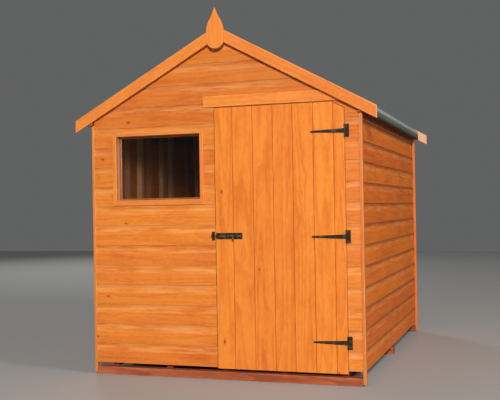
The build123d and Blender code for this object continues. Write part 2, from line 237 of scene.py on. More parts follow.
# %% Short names for shader nodes
class Finish:
    """A material, its shader and the nodes that feed it."""

    def __init__(self, name):
        self.material = bpy.data.materials.new(name)
        self.material.use_nodes = True
        self.tree = self.material.node_tree
        self.shader = self.tree.nodes["Principled BSDF"]

    def set(self, socket, value):
        """Link another node's output to a socket, or write a value in it."""
        if isinstance(value, bpy.types.NodeSocket):
            self.tree.links.new(value, socket)
        else:
            socket.default_value = (*value, 1.0) if socket.type == "RGBA" else value

    def shade(self, **inputs):
        """Set the shader's own sockets, with _ for each space in a name."""
        for name, value in inputs.items():
            self.set(self.shader.inputs[name.replace("_", " ")], value)

    def add(self, kind, inputs, **settings):
        """A new node with its settings and inputs."""
        node = self.tree.nodes.new("ShaderNode" + kind)
        for key, value in settings.items():
            setattr(node, key, value)
        for key, value in inputs.items():
            self.set(node.inputs[key], value)
        return node

    def place(self):
        return self.add("TexCoord", {}).outputs["Object"]

    def attribute(self, name, output="Fac"):
        """A number or vector that the mesh carries."""
        return self.add("Attribute", {}, attribute_name=name).outputs[output]

    def channel(self, value, index=0):
        return self.add("SeparateColor", {0: value}).outputs[index]

    def sum(self, operation, *values):
        return self.add("Math", dict(enumerate(values)), operation=operation).outputs[0]

    def vector(self, operation, first, second):
        """Arithmetic on vectors. SCALE reads its number in the fourth socket."""
        inputs = {0: first, 3 if operation == "SCALE" else 1: second}
        return self.add("VectorMath", inputs, operation=operation).outputs[0]

    def stretch(self, place, scale):
        return self.add("Mapping", {"Vector": place, "Scale": scale}).outputs[0]

    def noise(self, place, scale, detail=2.0, roughness=0.5):
        inputs = {"Vector": place, "Scale": scale, "Detail": detail, "Roughness": roughness}
        return self.add("TexNoise", inputs).outputs[0]

    def fade(self, value, start, end, low=0.0, high=1.0):
        """Go smoothly from low to high while the value goes from start to end."""
        inputs = {"Value": value, "From Min": start, "From Max": end,
                  "To Min": low, "To Max": high}
        return self.add("MapRange", inputs, interpolation_type="SMOOTHSTEP").outputs[0]

    def blend(self, amount, first, second):
        inputs = {0: amount, 6: first, 7: second}
        return self.add("Mix", inputs, data_type="RGBA").outputs[2]

    def bump(self, height, distance, strength=1.0):
        inputs = {"Height": height, "Distance": distance, "Strength": strength}
        self.shade(Normal=self.add("Bump", inputs).outputs[0])

# %% [markdown]
# Softwood shows rings, which a board cuts into flowing lines, and knots, which push
# the lines apart. A picture of wood would repeat, so the rings are contour lines of a
# stretched noise, and near a knot the place looked up is drawn towards it.

# %% Knots and rings
knot_cells = (4.6, 8.5, 8.5)
ring_count = 13.0


def knots_in(wood, grain):
    """Scattered knots, and the grain as it bends round them."""
    cells = wood.stretch(grain, knot_cells)
    knots = wood.add("TexVoronoi", {"Vector": cells, "Scale": 1.0})
    pull = wood.fade(knots.outputs["Distance"], 0.0, 0.45, 0.8, 0.0)
    offset = wood.vector("SUBTRACT", knots.outputs["Position"], cells)
    sideways = (0.0, 1 / knot_cells[1], 1 / knot_cells[2])
    drawn = wood.stretch(wood.vector("SCALE", offset, pull), sideways)
    return knots, wood.vector("ADD", grain, drawn)


def late_wood(wood, bent):
    """The dark part of each ring, which starts softly and stops sharply."""
    contour = wood.noise(wood.stretch(bent, (0.42, 6.5, 6.5)), 1.0, 1.5, 0.35)
    ring = wood.sum("FRACT", wood.sum("MULTIPLY", contour, ring_count))
    return wood.sum("MULTIPLY", wood.fade(ring, 0.25, 0.86), wood.fade(ring, 1.0, 0.93))

# %% [markdown]
# Rings alone look drawn. Real boards also have streaks, fibres, clouds and a mottle,
# and no two boards have quite the same tone. Each is a noise of its own scale that
# shifts the wood between two colours. The tone comes from the board's number.

# %% The shades of one board
def darkness(wood, grain, late, fibre, contrast):
    """How far each place goes from the pale to the dark colour."""
    streak = wood.noise(wood.stretch(grain, (0.9, 22.0, 22.0)), 1.0)
    cloud = wood.noise(grain, 3.2)
    mottle = wood.noise(wood.stretch(grain, (26.0, 60.0, 60.0)), 1.0)
    shades = [(streak, 0.42, 0.72, 0.0, contrast * 0.5), (fibre, 0.35, 0.7, -0.08, 0.12),
              (cloud, 0.35, 0.7, -0.08, 0.24), (mottle, 0.35, 0.68, -0.10, 0.16)]
    amount = wood.sum("MULTIPLY", late, contrast * 0.62)
    for texture, *limits in shades:
        amount = wood.sum("ADD", amount, wood.fade(texture, *limits))
    return amount


def board_tone(wood, body, along, tone):
    """Give each board a value and a hue of its own."""
    number = wood.sum("FLOOR", wood.sum("DIVIDE", along, float(board_stride)))
    chance = wood.add("TexWhiteNoise", {"W": number}, noise_dimensions="1D")
    value = wood.fade(chance.outputs["Value"], 0.0, 1.0, 1.0 - tone, 1.0 + tone * 0.45)
    hue = wood.fade(wood.channel(chance.outputs["Color"]), 0.0, 1.0, 0.4965, 0.5025)
    return wood.add("HueSaturation", {"Color": body, "Value": value, "Hue": hue}).outputs[0]

# %% [markdown]
# A knot has a dark heart in a paler rim. Under each lip the stain lies thick and is
# darkened further as painted shade, and the cove carries a streaked painted highlight;
# hands rub the arrises and sawn ends drink the stain. Painting by hand would fit one
# wall only, so each is a blend that reads the place in the board or a mark on the mesh.

# %% Knots, coves and wear
def draw_knots(wood, body, knots, share, dark, knot):
    """Draw a rim and a heart in this share of the cells. Also give the hearts."""
    reach = knots.outputs["Distance"]
    present = wood.fade(wood.channel(knots.outputs["Color"], 1), share, share - 0.05)
    rim = wood.sum("MULTIPLY", wood.fade(reach, 0.14, 0.06, 0.0, 0.45), present)
    heart = wood.sum("MULTIPLY", wood.fade(reach, 0.075, 0.04, 0.0, 0.75), present)
    return wood.blend(heart, wood.blend(rim, body, dark), knot), heart


def paint_cove_light_and_shade(wood, body, grain, depth, light, stain, worn, knot):
    """Painted highlight in streaks on the cove; stain and painted shade in its deepest part."""
    hollow = wood.fade(depth, 0.0006, 0.0030, 0.0, light)
    streaks = wood.noise(wood.stretch(grain, (5.0, 45.0, 45.0)), 1.0)
    painted_highlight = wood.sum("MULTIPLY", hollow, wood.fade(streaks, 0.38, 0.62))
    deep = wood.fade(depth, 0.0044, 0.0058, 0.0, stain)
    return wood.blend(deep, wood.blend(painted_highlight, body, worn), knot)


def wear_edges(wood, body, grain, worn, cut):
    """Rub the arrises in patches, and colour the sawn ends."""
    wear_and_highlight = wood.fade(wood.noise(grain, 14.0, 3.0), 0.35, 0.6, 0.1, 0.5)
    body = wood.blend(wood.sum("MULTIPLY", wood.attribute("arris"), wear_and_highlight), body, worn)
    pores = wood.fade(wood.noise(grain, 260.0), 0.3, 0.7, 0.65, 1.0)
    return wood.blend(wood.sum("MULTIPLY", wood.attribute("end_grain"), pores), body, cut)

# %% [markdown]
# All the timber is one kind of softwood under different stains, so one function that
# takes five colours makes them all, and they stay related. Rings and fibres stand out
# in relief too, and late wood shines a little more than the soft wood.

# %% A timber finish
def timber(name, pale, dark, knot, worn, cut, contrast=0.6, tone=0.05, roughness=0.62,
           relief=0.0005, knotty=0.6, painted_cove_highlight=0.0, lap_stain_and_shade=0.0, painted_shade_by_height=None):
    """Softwood. Its colours are pale wood, late wood, knots, rubbed edges and cut ends."""
    wood = Finish(name)
    grain = wood.attribute("grain", "Vector")
    along, up, depth = wood.add("SeparateXYZ", {0: grain}).outputs
    knots, bent = knots_in(wood, grain)
    late = late_wood(wood, bent)
    fibre = wood.noise(wood.stretch(grain, (3.0, 210.0, 210.0)), 1.0, 2.0, 0.6)
    body = wood.blend(darkness(wood, grain, late, fibre, contrast), pale, dark)
    body = board_tone(wood, body, along, tone)
    body, hearts = draw_knots(wood, body, knots, knotty, dark, knot)
    # Painted light on the laps: a streaked highlight on the cove, stain and painted shade under
    # each lip.
    if painted_cove_highlight:
        body = paint_cove_light_and_shade(wood, body, grain, depth, painted_cove_highlight, lap_stain_and_shade, worn, knot)
    # Painted shade: the board darkens towards the knot colour between two heights.
    if painted_shade_by_height:
        body = wood.blend(wood.fade(up, *painted_shade_by_height), body, knot)
    gloss = wood.sum("ADD", wood.sum("MULTIPLY", late, -0.10), roughness)
    gloss = wood.sum("ADD", gloss, wood.fade(fibre, 0.3, 0.7, -0.04, 0.06))
    wood.shade(Base_Color=wear_edges(wood, body, grain, worn, cut), Roughness=gloss,
               Specular_IOR_Level=0.2)
    height = wood.sum("ADD", wood.sum("MULTIPLY", late, 0.5), fibre)
    wood.bump(wood.sum("ADD", height, hearts), relief)
    return wood.material

# %% [markdown]
# The boards were dipped in a golden brown stain. The side and back walls get a redder,
# darker copy of it as painted shade, so there are two finishes. The top of the side wall
# has painted shade under the eaves, and the front is painted a little darker towards its
# top: one setting gives two heights and how much it darkens.

# %% Stained boards
stain_knot, stain_worn = (0.20, 0.040, 0.007), (0.92, 0.42, 0.13)
stain_cut = (0.50, 0.16, 0.04)
front_stain = timber("front_boards", (0.80, 0.238, 0.034), (0.62, 0.135, 0.014), stain_knot,
                     stain_worn, stain_cut, contrast=0.5, painted_cove_highlight=0.46,
                     lap_stain_and_shade=0.15, painted_shade_by_height=(0.9, 2.1, 0.0, 0.22))
# Painted shade: the walls away from the key light take a redder, darker copy of the stain and
# darker laps.
stain_with_painted_shade = (0.83, 0.200, 0.016), (0.62, 0.108, 0.006), stain_knot, stain_worn, stain_cut
painted_shade_look = {"contrast": 0.5, "tone": 0.08, "painted_cove_highlight": 0.3, "lap_stain_and_shade": 0.55}
side_stain_painted_shade = timber("side_boards_painted_shade", *stain_with_painted_shade, painted_shade_by_height=(1.565, 1.65, 0.0, 0.9), **painted_shade_look)
rear_stain_painted_shade = timber("rear_boards_painted_shade", *stain_with_painted_shade, **painted_shade_look)
door_stain = timber("door_boards", (0.86, 0.265, 0.034), (0.68, 0.160, 0.015), stain_knot,
                    (0.46, 0.105, 0.013), stain_cut, contrast=0.68, knotty=0.85)
print("finishes so far:", len(bpy.data.materials))

# %% [markdown]
# The trim is planed and took the stain evenly, and its cut ends stayed bare. The frame
# inside was never stained. The bearers lie in the wet and went a dull red brown.

# %% Trim, frame and bearers
bare_cut = (0.84, 0.50, 0.31)
trim_stain = timber("stained_trim", (0.83, 0.262, 0.045), (0.68, 0.175, 0.022),
                    stain_knot, (0.92, 0.48, 0.20), bare_cut, knotty=0.2)
corner_stain = timber("corner_trim", (0.72, 0.225, 0.048), (0.62, 0.165, 0.030),
                      stain_knot, (0.88, 0.40, 0.16), bare_cut, knotty=0.15)
# Painted shade: the eaves battens are near black, as the shadow under the eaves.
eaves_painted_shade = timber("eaves_timber_painted_shade", (0.10, 0.035, 0.014), (0.07, 0.022, 0.009),
                     stain_knot, (0.16, 0.07, 0.03), stain_cut, roughness=0.78)
bare_knot, bare_worn = (0.20, 0.09, 0.035), (0.70, 0.46, 0.24)
frame_wood = timber("frame_wood", (0.68, 0.37, 0.19), (0.52, 0.25, 0.11), bare_knot,
                    bare_worn, (0.50, 0.30, 0.13), tone=0.15, roughness=0.75, relief=0.0009)
floor_wood = timber("floor_wood", (0.62, 0.38, 0.17), (0.46, 0.25, 0.10),
                    bare_knot, bare_worn, (0.46, 0.27, 0.12), tone=0.18, roughness=0.68)
roof_wood = timber("roof_wood", (0.58, 0.36, 0.17), (0.42, 0.23, 0.09), bare_knot,
                   bare_worn, (0.44, 0.26, 0.12), tone=0.2, roughness=0.78, relief=0.0009)
bearer_wood = timber("bearer_wood", (0.46, 0.120, 0.050), (0.29, 0.058, 0.022),
                     (0.09, 0.022, 0.009), (0.56, 0.21, 0.11), (0.20, 0.05, 0.02),
                     contrast=1.0, tone=0.15, roughness=0.8, relief=0.0010)
print("finishes so far:", len(bpy.data.materials))

# %% [markdown]
# Mineral felt is bitumen under crushed slate. Tiny cells give each chip its shade and
# height, and a slow noise makes dusty places. The bend at the eaves takes a painted
# highlight and the foot of the drip edge painted shade: both follow a number that the
# strips carry.

# %% Slate felt
def slate_felt():
    felt = Finish("slate_felt")
    place = felt.place()
    chips = felt.add("TexVoronoi", {"Vector": place, "Scale": 520.0})
    shade = felt.channel(chips.outputs["Color"])
    painted_light = felt.attribute("painted_light")
    body = felt.blend(shade, (0.055, 0.072, 0.066), (0.165, 0.195, 0.165))
    dust = felt.fade(felt.noise(place, 2.6, 4.0), 0.42, 0.72, 0.0, 0.35)
    body = felt.blend(dust, body, (0.19, 0.21, 0.175))
    # Painted highlight on the bend at the eaves, painted shade at the foot of the drip edge.
    wear_and_highlight = felt.blend(shade, (0.32, 0.35, 0.32), (0.46, 0.50, 0.46))
    body = felt.blend(felt.fade(painted_light, 0.66, 1.0, 0.0, 0.9), body, wear_and_highlight)
    body = felt.blend(felt.fade(painted_light, 0.5, 0.05, 0.0, 0.9), body, (0.014, 0.016, 0.015))
    felt.shade(Base_Color=body, Roughness=0.88)
    ripple = felt.sum("MULTIPLY", felt.noise(place, 9.0, 3.0), 3.0)
    felt.bump(felt.sum("ADD", ripple, chips.outputs["Distance"]), 0.0012, 0.8)
    return felt.material


felt_finish = slate_felt()
print("roof:", felt_finish.name)

# %% [markdown]
# Horticultural glass is thin, a little green and never quite flat. A pane of pure
# transmission would keep the lamps' light out and leave the inside evenly dim, so
# half of it is left open by its alpha, and light falls on the feet of the studs.

# %% Window glass
def horticultural_glass():
    glass = Finish("horticultural_glass")
    place = glass.place()
    smear = glass.noise(glass.stretch(place, (9.0, 9.0, 2.2)), 1.0, 3.0)
    glass.shade(Base_Color=(0.86, 0.93, 0.91), Transmission_Weight=1.0, IOR=1.46,
                Alpha=0.48, Roughness=glass.fade(smear, 0.5, 0.75, 0.012, 0.07))
    glass.bump(glass.noise(place, 3.0, 1.0), 0.0006, 0.4)
    return glass.material


glass_finish = horticultural_glass()
print("window:", glass_finish.name)

# %% [markdown]
# The hinges and the bolt are black japanned iron. Flat black would look like plastic,
# so a noise shows brown where the coat has worn. The sliding rod is rubbed grey, worn
# metal with a painted highlight. Wall nails took the boards' stain and the felt's nails
# are galvanised.

# %% Iron and nails
def japanned_iron(name, least_wear, wear_and_highlight):
    """Black iron that shows another colour where a noise passes the least wear."""
    iron = Finish(name)
    place = iron.place()
    wear = iron.fade(iron.noise(place, 46.0, 4.0, 0.6), least_wear, least_wear + 0.16)
    iron.shade(Base_Color=iron.blend(wear, (0.018, 0.012, 0.007), wear_and_highlight),
               Roughness=iron.sum("ADD", iron.sum("MULTIPLY", wear, 0.22), 0.3),
               Specular_Tint=(1.0, 0.80, 0.58))
    iron.bump(iron.noise(place, 420.0), 0.00025, 0.5)
    return iron.material


def galvanised_nails():
    steel = Finish("galvanised_nails")
    spangle = steel.fade(steel.noise(steel.place(), 600.0, 3.0), 0.35, 0.7)
    steel.shade(Base_Color=steel.blend(spangle, (0.11, 0.10, 0.09), (0.20, 0.19, 0.18)),
                Roughness=steel.fade(spangle, 0.0, 1.0, 0.38, 0.6), Metallic=0.7)
    return steel.material


def stained_nails():
    steel = Finish("stained_nails")
    film = steel.fade(steel.noise(steel.place(), 90.0, 3.0), 0.35, 0.65)
    steel.shade(Base_Color=steel.blend(film, (0.42, 0.13, 0.03), (0.20, 0.10, 0.05)),
                Roughness=0.5, Metallic=0.3)
    return steel.material


iron_finish = japanned_iron("japanned_iron", 0.50, (0.095, 0.056, 0.024))
# The rod's grey is worn metal and a painted highlight.
rod_wear_and_glint = japanned_iron("bolt_rod_worn_and_glinting", 0.40, (0.105, 0.103, 0.093))
felt_nail_finish, wall_nail_finish = galvanised_nails(), stained_nails()
print("finishes so far:", len(bpy.data.materials))

# %% [markdown]
# ## Walls
# The cladding is shiplap. Each board has a thin lip that hangs over the board below
# and a long hollow, the cove, under the next lip. The lip throws the dark line and
# the cove catches the light. Drawn lines would cast no shadow, so the section is a
# handful of points, pulled out to the board's length.

# %% One shiplap board
board_cover = 0.1293
lap = 0.010
lip = 0.0056
tongue = lip + 0.0005
cove = 0.056
hollow = [(lip, 0.014), (0.0046, 0.027), (0.0030, 0.041), (0.0012, cove), (0, cove)]


def shiplap_board(length):
    """Board along X, centred, with its face at Y = 0 and its foot at Z = 0."""
    section = [(0, 0), (lip, 0), (lip, lap + 0.001), (thickness, lap + 0.001),
               (thickness, board_cover + lap), (tongue, board_cover + lap),
               (tongue, board_cover - 0.004)]
    section += [(depth, board_cover - drop) for depth, drop in hollow]
    bm = bmesh.new()
    end = bm.faces.new([bm.verts.new((-length / 2, y, z)) for y, z in section])
    pulled = bmesh.ops.extrude_face_region(bm, geom=[end], use_keep_orig=True)
    moved = [item for item in pulled["geom"] if isinstance(item, bmesh.types.BMVert)]
    bmesh.ops.translate(bm, vec=(length, 0, 0), verts=moved)
    bmesh.ops.recalc_face_normals(bm, faces=bm.faces)
    ease(bm, 0.003, lambda edge: all(abs(vert.co.y) + abs(vert.co.z) < 1e-6
                                     for vert in edge.verts))
    return bm


def lay_boards(length, foot, top):
    boards = []
    while foot < top - 0.004:
        board = shiplap_board(length)
        bmesh.ops.translate(board, vec=(0, 0, foot), verts=board.verts)
        boards.append(board)
        foot += board_cover
    return boards


print("shiplap", round(1000 * thickness), "mm thick, cove", round(1000 * cove), "mm")

# %% [markdown]
# The front is laid as whole boards, cut to the two slopes, and then the door and the
# window are taken out, as a joiner would do on the bench. The door opening slopes on
# the hinge side, and the narrow piece beside the hinges stops higher at its foot.

# %% Front wall
swell = 0.002
clear = 0.05
roof_gap = 0.0005
door_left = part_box("front_cladding_left")[1].x
door_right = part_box("front_cladding_right")[0].x
door_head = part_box("door_head_strip")[0].z
corner_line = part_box("front_cladding_right")[1].z + rise * door_right
window_low, window_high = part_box("window_glass")
wall_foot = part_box("front_cladding_left")[0].z
hinge_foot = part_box("front_cladding_right")[0].z


def lay_gable():
    """Boards of a whole gable wall, cut to the two roof slopes."""
    boards = lay_boards(2 * side_face, wall_foot, ridge)
    for board in boards:
        for side in (-1, 1):
            saw(board, (0, 0, ridge - roof_gap), (side * rise, 0, 1))
    return gather(boards)


def cut_front_openings(bm):
    """Take out the short foot beside the hinges, the door and the window."""
    bm = carve(bm, block((door_right - clear, -clear, wall_foot - clear),
                         (side_face + clear, clear, hinge_foot)))
    door = block((door_left + swell, -clear, wall_foot - clear),
                 (door_right - swell, clear, door_head - swell))
    saw(door, (0, 0, corner_line - swell), (rise, 0, 1))
    bm = carve(bm, door)
    return carve(bm, block((window_low.x, -clear, window_low.z),
                           (window_high.x, clear, window_high.z)))


front_wall = cut_front_openings(lay_gable())
print("boards and pieces of boards in front:", mark_grain(front_wall, "X"))
fit("front_wall_boards", front_wall, front_stain, "stained_cladding",
    ("front_cladding_left", "front_cladding_right", "front_gable_cladding"),
    turn=Matrix.Translation((0, front_face, 0)), smooth=False)

# %% [markdown]
# The back repeats the front without its openings. The side boards stop between the
# gable walls and are cut to the slope of the roof. A mirrored copy would do for the
# left wall, but a turned one gets its own grain.

# %% Rear and side walls
side_low, side_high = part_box("right_cladding")
eaves = ridge - rise * side_face

rear_wall = lay_gable()
mark_grain(rear_wall, "X", first=40)
fit("rear_wall_boards", rear_wall, rear_stain_painted_shade, "stained_cladding", ("rear_cladding",),
    smooth=False,
    turn=Matrix.Translation((0, rear_face, 0)) @ Matrix.Rotation(pi, 4, "Z"))

for name, side, first in (("right", 1, 80), ("left", -1, 110)):
    boards = lay_boards(side_high.y - side_low.y, side_low.z, eaves + rise * thickness)
    for board in boards:
        saw(board, (0, 0, eaves - roof_gap), (0, -rise, 1))
    wall = gather(boards)
    mark_grain(wall, "X", first)
    place = Matrix.Translation((side * side_face, (side_low.y + side_high.y) / 2, 0))
    fit(name + "_wall_boards", wall, side_stain_painted_shade, "stained_cladding",
        (name + "_cladding",), turn=place @ Matrix.Rotation(side * pi / 2, 4, "Z"),
        smooth=False)

# %% [markdown]
# ## Trim, frames and bearers
# These parts already have the right shape, so each is copied, its triangles are
# merged and its edges are eased. Modelling them again would risk small differences.
# A sloping bargeboard is laid level while its grain is marked.

# %% Parts with eased edges
numbers = iter(range(200, 4000, 40))


def drawn_part(node):
    """The part as it was drawn, with its corners joined."""
    bm = bmesh.new()
    bm.from_mesh(frame["nodes"][node].data)
    bmesh.ops.remove_doubles(bm, verts=bm.verts, dist=1e-5)
    return bm


def eased_copy(node, radius, along, first, lean=0.0):
    """The part's own shape with soft edges and grain along it."""
    bm = drawn_part(node)
    bmesh.ops.dissolve_limit(bm, angle_limit=radians(0.5), verts=bm.verts, edges=bm.edges)
    bmesh.ops.recalc_face_normals(bm, faces=bm.faces)
    ease(bm, radius)
    level = Matrix.Rotation(lean, 4, "Y")
    bm.transform(level)
    mark_grain(bm, along, first)
    bm.transform(level.inverted())
    return bm


def pale_front_faces(bm):
    """Give the faces that look to the front the pale colour of the cut ends."""
    pale_mark = bm.faces.layers.float["end_grain"]
    for face in bm.faces:
        if face.normal.y < -0.9:
            face[pale_mark] = 1.0


ends_and_sides = [(end, side) for end in ("front", "rear") for side in ("right", "left")]
trim_parts = [(f"{end}_{side}_corner_strip", "Z", 0, 0.0035, corner_stain)
              for end, side in ends_and_sides]
trim_parts += [(f"{end}_{side}_bargeboard", "X", -pitch if side == "right" else pitch,
                0.0045, trim_stain) for end, side in ends_and_sides]
trim_parts += [("door_head_strip", "X", 0, 0.007, trim_stain),
               ("finial", "Z", 0, 0.003, trim_stain)]
for node, along, lean, radius, material in trim_parts:
    piece = eased_copy(node, radius, along, next(numbers), lean)
    if node.startswith("rear") and along == "X":
        pale_front_faces(piece)
    fit(node + "_timber", piece, material, "stained_trim", (node,))

# %% [markdown]
# The frame shows through the window and the open door. Its timbers are plain blocks
# in the drawing and only need softer edges and grain. The order of the rows decides
# which stretch of grain a part gets.

# %% Frame, roof timbers, bearers and door back
inside = {"front_studs": "Z", "front_rails": "X", "door_stops": "Z", "right_studs": "Z",
          "left_studs": "Z", "right_rails": "Y", "left_rails": "Y", "rear_studs": "Z",
          "rear_bottom_rail": "X", "ridge_batten": "Y", "purlins": "Y", "window_beads": "X",
          "front_rafters": "X", "rear_rafters": "X"}
timbers = [(node, along, 0.0015, trim_stain if node == "window_beads" else frame_wood,
            "frame_timber", "shed") for node, along in inside.items()]
timbers += [("right_eaves_batten", "Y", 0.0012, eaves_painted_shade, "roof_timber", "shed"),
            ("left_eaves_batten", "Y", 0.0012, eaves_painted_shade, "roof_timber", "shed"),
            ("bearers", "X", 0.004, bearer_wood, "bearer_timber", "shed"),
            # The joists take the bearers' dark red brown: treated timber, and painted shade
            # under the floor.
            ("floor_joists", "Y", 0.002, bearer_wood, "bearer_timber", "shed"),
            ("door_ledges", "X", 0.003, frame_wood, "frame_timber", "door"),
            ("door_braces", "X", 0.003, frame_wood, "frame_timber", "door")]
for node, along, radius, finish, slot, body in timbers:
    fit(node + "_timber", eased_copy(node, radius, along, next(numbers)), finish, slot,
        (node,), body)

# %% [markdown]
# The window trim is four strips with mitred corners. One ring would need two cutters;
# four blocks are simpler, each sawn at both ends along its corner's diagonal.

# %% Window trim
mitre_gap = 0.00015
trim_low, trim_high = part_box("window_trim")


def corners(low, high):
    """A box's four corners seen from the front, counted round from the lower left."""
    return [Vector((x, 0, z)) for x, z in ((low.x, low.z), (high.x, low.z),
                                           (high.x, high.z), (low.x, high.z))]


outer, inner = corners(trim_low, trim_high), corners(window_low, window_high)


def mitre(corner, strip_side):
    """Plane through an outer and an inner corner, facing away from the strip."""
    run = inner[corner] - outer[corner]
    across = Vector((run.z, 0, -run.x)).normalized()
    if across.dot(strip_side) > 0:
        across = -across
    return outer[corner] - mitre_gap * across, across


strips = [("sill", trim_low.x, trim_low.z, trim_high.x, window_low.z, (0, 1), (0, 0, -1)),
          ("right", window_high.x, trim_low.z, trim_high.x, trim_high.z, (1, 2), (1, 0, 0)),
          ("head", trim_low.x, window_high.z, trim_high.x, trim_high.z, (2, 3), (0, 0, 1)),
          ("left", trim_low.x, trim_low.z, window_low.x, trim_high.z, (3, 0), (-1, 0, 0))]
for name, left, low, right, high, ends, strip_side in strips:
    strip = block((left, trim_low.y, low), (right, trim_high.y, high))
    for corner in ends:
        saw(strip, *mitre(corner, Vector(strip_side)))
    ease(strip, 0.0025)
    mark_grain(strip, "X" if name in ("sill", "head") else "Z", next(numbers))
    fit(f"window_{name}_strip", strip, trim_stain, "stained_trim", ("window_trim",))

# %% [markdown]
# ## Door, floor and roof boards
# The door is a row of tongued boards with a small V at each joint. One grooved sheet
# would look alike, but separate boards have their own grain. Their widths differ, and
# the top corner on the hinge side follows the roof.

# %% Door leaf
joint_gap = 0.0003
leaf_low, leaf_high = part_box("door_leaf")
leaf_line = corner_line - 0.006 / cos(pitch)
joints = [leaf_low.x - swell, 0.083, 0.218, 0.350, 0.478, 0.609, 0.737, leaf_high.x + swell]
leaf_boards = []
for left, right in zip(joints, joints[1:]):
    board = block((left + joint_gap, leaf_low.y, leaf_low.z),
                  (right - joint_gap, leaf_high.y, leaf_high.z + swell))
    saw(board, (0, 0, leaf_line + swell), (rise, 0, 1))
    ease(board, 0.0035)
    leaf_boards.append(board)
leaf = gather(leaf_boards)
mark_grain(leaf, "Z", next(numbers))
fit("door_leaf_boards", leaf, door_stain, "stained_cladding", ("door_leaf",), "door")

# %% [markdown]
# The floor is narrow boards that run from back to front, as a barrow wheel does. One
# sheet would have the shape, but separate boards have their own grain and a V at
# every joint, which is two single bevels that meet.

# %% Floor boards
board_gap = 0.0004
floor_count = 16


def v_board(low, high):
    board = block(low, high)
    bmesh.ops.bevel(board, geom=board.edges[:], offset=0.0015, affect="EDGES", segments=1,
                    profile=0.5, material=-1)
    return board


floor_low, floor_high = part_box("floor")
width = (floor_high.x - floor_low.x) / floor_count
starts = [floor_low.x + i * width for i in range(floor_count)]
floor_layer = gather([v_board((start + board_gap, floor_low.y, floor_low.z),
                              (start + width - board_gap, floor_high.y, floor_high.z))
                      for start in starts])
mark_grain(floor_layer, "Y", next(numbers))
fit("floor_boards", floor_layer, floor_wood, "floor_timber", ("floor",))

# %% [markdown]
# Under the felt lie thin boards from the ridge to the eaves. Each is made flat,
# tilted to the pitch and sawn upright at both ends, as a joiner would. The outer
# corner is planed off so that the felt bends round it without a crease.

# %% Roof boards
roof_count = 25


def roof_layer(side):
    low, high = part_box("right_roof_boards")
    reach = high.x / cos(pitch)
    corner = Vector((high.x, 0, high.z - rise * high.x))
    blunt = Vector((1 + sin(pitch), 0, cos(pitch))).normalized()
    thick = (high.z - ridge) * cos(pitch)
    pace = (high.y - low.y) / roof_count
    boards = []
    for i in range(roof_count):
        start = low.y + i * pace
        board = v_board((-clear, start + board_gap, 0),
                        (reach + clear, start + pace - board_gap, thick))
        board.transform(Matrix.Translation((0, 0, ridge)) @ Matrix.Rotation(pitch, 4, "Y"))
        saw(board, (0.0002, 0, 0), (-1, 0, 0))
        saw(board, (high.x, 0, 0), (1, 0, 0))
        saw(board, corner - 0.005 * blunt, blunt)
        boards.append(board)
    layer = gather(boards)
    layer.transform(Matrix.Diagonal((side, 1, 1, 1)))
    return layer


for name, side in (("right", 1), ("left", -1)):
    layer = roof_layer(side)
    mark_grain(layer, "X", next(numbers))
    fit(name + "_roof_board_layer", layer, roof_wood, "roof_timber", (name + "_roof_boards",))

# %% [markdown]
# ## Felt
# Felt comes in metre-wide rolls. A strip is a line of points down the slope, pulled
# out along the shed and given its thickness. A bent block would have no ruffles, and
# a line turns down easily at the eaves, where its corner is bevelled first.

# %% Felt laid over a line
felt_low, felt_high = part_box("right_felt")
board_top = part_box("right_roof_boards")[1].z
felt_thick = (felt_high.z - board_top) * cos(pitch)
batten_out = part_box("right_eaves_batten")[1].x
felt_length = felt_high.y - felt_low.y
felt_rows = 60
nosing = 0.014
drip_height = 0.05
flat_painted_light = 0.65


def sweep(line):
    """A sheet that follows a line in X and Z, pulled out from the front to the back."""
    bm = bmesh.new()
    points = [bm.verts.new((x, felt_low.y, z)) for x, z in line]
    row = [bm.edges.new(pair) for pair in zip(points, points[1:])]
    for _ in range(felt_rows):
        pulled = bmesh.ops.extrude_edge_only(bm, edges=row)["geom"]
        row = [item for item in pulled if isinstance(item, bmesh.types.BMEdge)]
        moved = [item for item in pulled if isinstance(item, bmesh.types.BMVert)]
        bmesh.ops.translate(bm, vec=(0, felt_length / felt_rows, 0), verts=moved)
    bmesh.ops.recalc_face_normals(bm, faces=bm.faces)
    if sum(face.normal.z for face in bm.faces) < 0:
        bmesh.ops.reverse_faces(bm, faces=bm.faces)
    return bm


def is_turn(edge):
    """True on the bend at the eaves, but not on the fold at the ridge."""
    return is_sharp(edge) and abs(edge.verts[0].co.x) > 0.2


def felt_strip(line, ruffle):
    """A strip with a rounded turn, a ruffled face, its thickness and its painted light."""
    bm = sweep(line)
    turns = [edge for edge in bm.edges if is_turn(edge)]
    if turns:
        bmesh.ops.bevel(bm, geom=turns, offset=nosing, affect="EDGES", segments=5,
                        profile=0.5, material=-1)
    for vert in bm.verts:
        wave = noise.noise(vert.co * 7.0) + 0.5 * noise.noise(vert.co * 19.0)
        vert.co += vert.normal * ruffle * (wave + 0.7)
    bmesh.ops.solidify(bm, geom=bm.faces[:], thickness=-felt_thick)
    bmesh.ops.recalc_face_normals(bm, faces=bm.faces)
    bm.normal_update()
    # Painted light for the felt: 1 high on the drip edge, 0 at its foot, a middle value on the
    # flat.
    painted_light = bm.verts.layers.float.new("painted_light")
    for vert in bm.verts:
        on_bend = abs(vert.co.x) > batten_out - 0.012
        above_drip = min(1.0, (vert.co.z - felt_low.z) / drip_height)
        vert[painted_light] = above_drip if on_bend else flat_painted_light
    return bm


print("felt", round(1000 * felt_thick, 1), "mm thick")

# %% [markdown]
# Each slope takes a lower strip that turns down at the eaves and an upper strip that
# laps over it, and a cap covers the ridge. A lift says how far a strip lies above the
# boards. One noise ruffles all three, the lower strip most.

# %% Felt strips
def on_slope(x, lift):
    """A point this far above the roof boards, measured square to the slope."""
    return (x, board_top - rise * abs(x) + lift / cos(pitch))


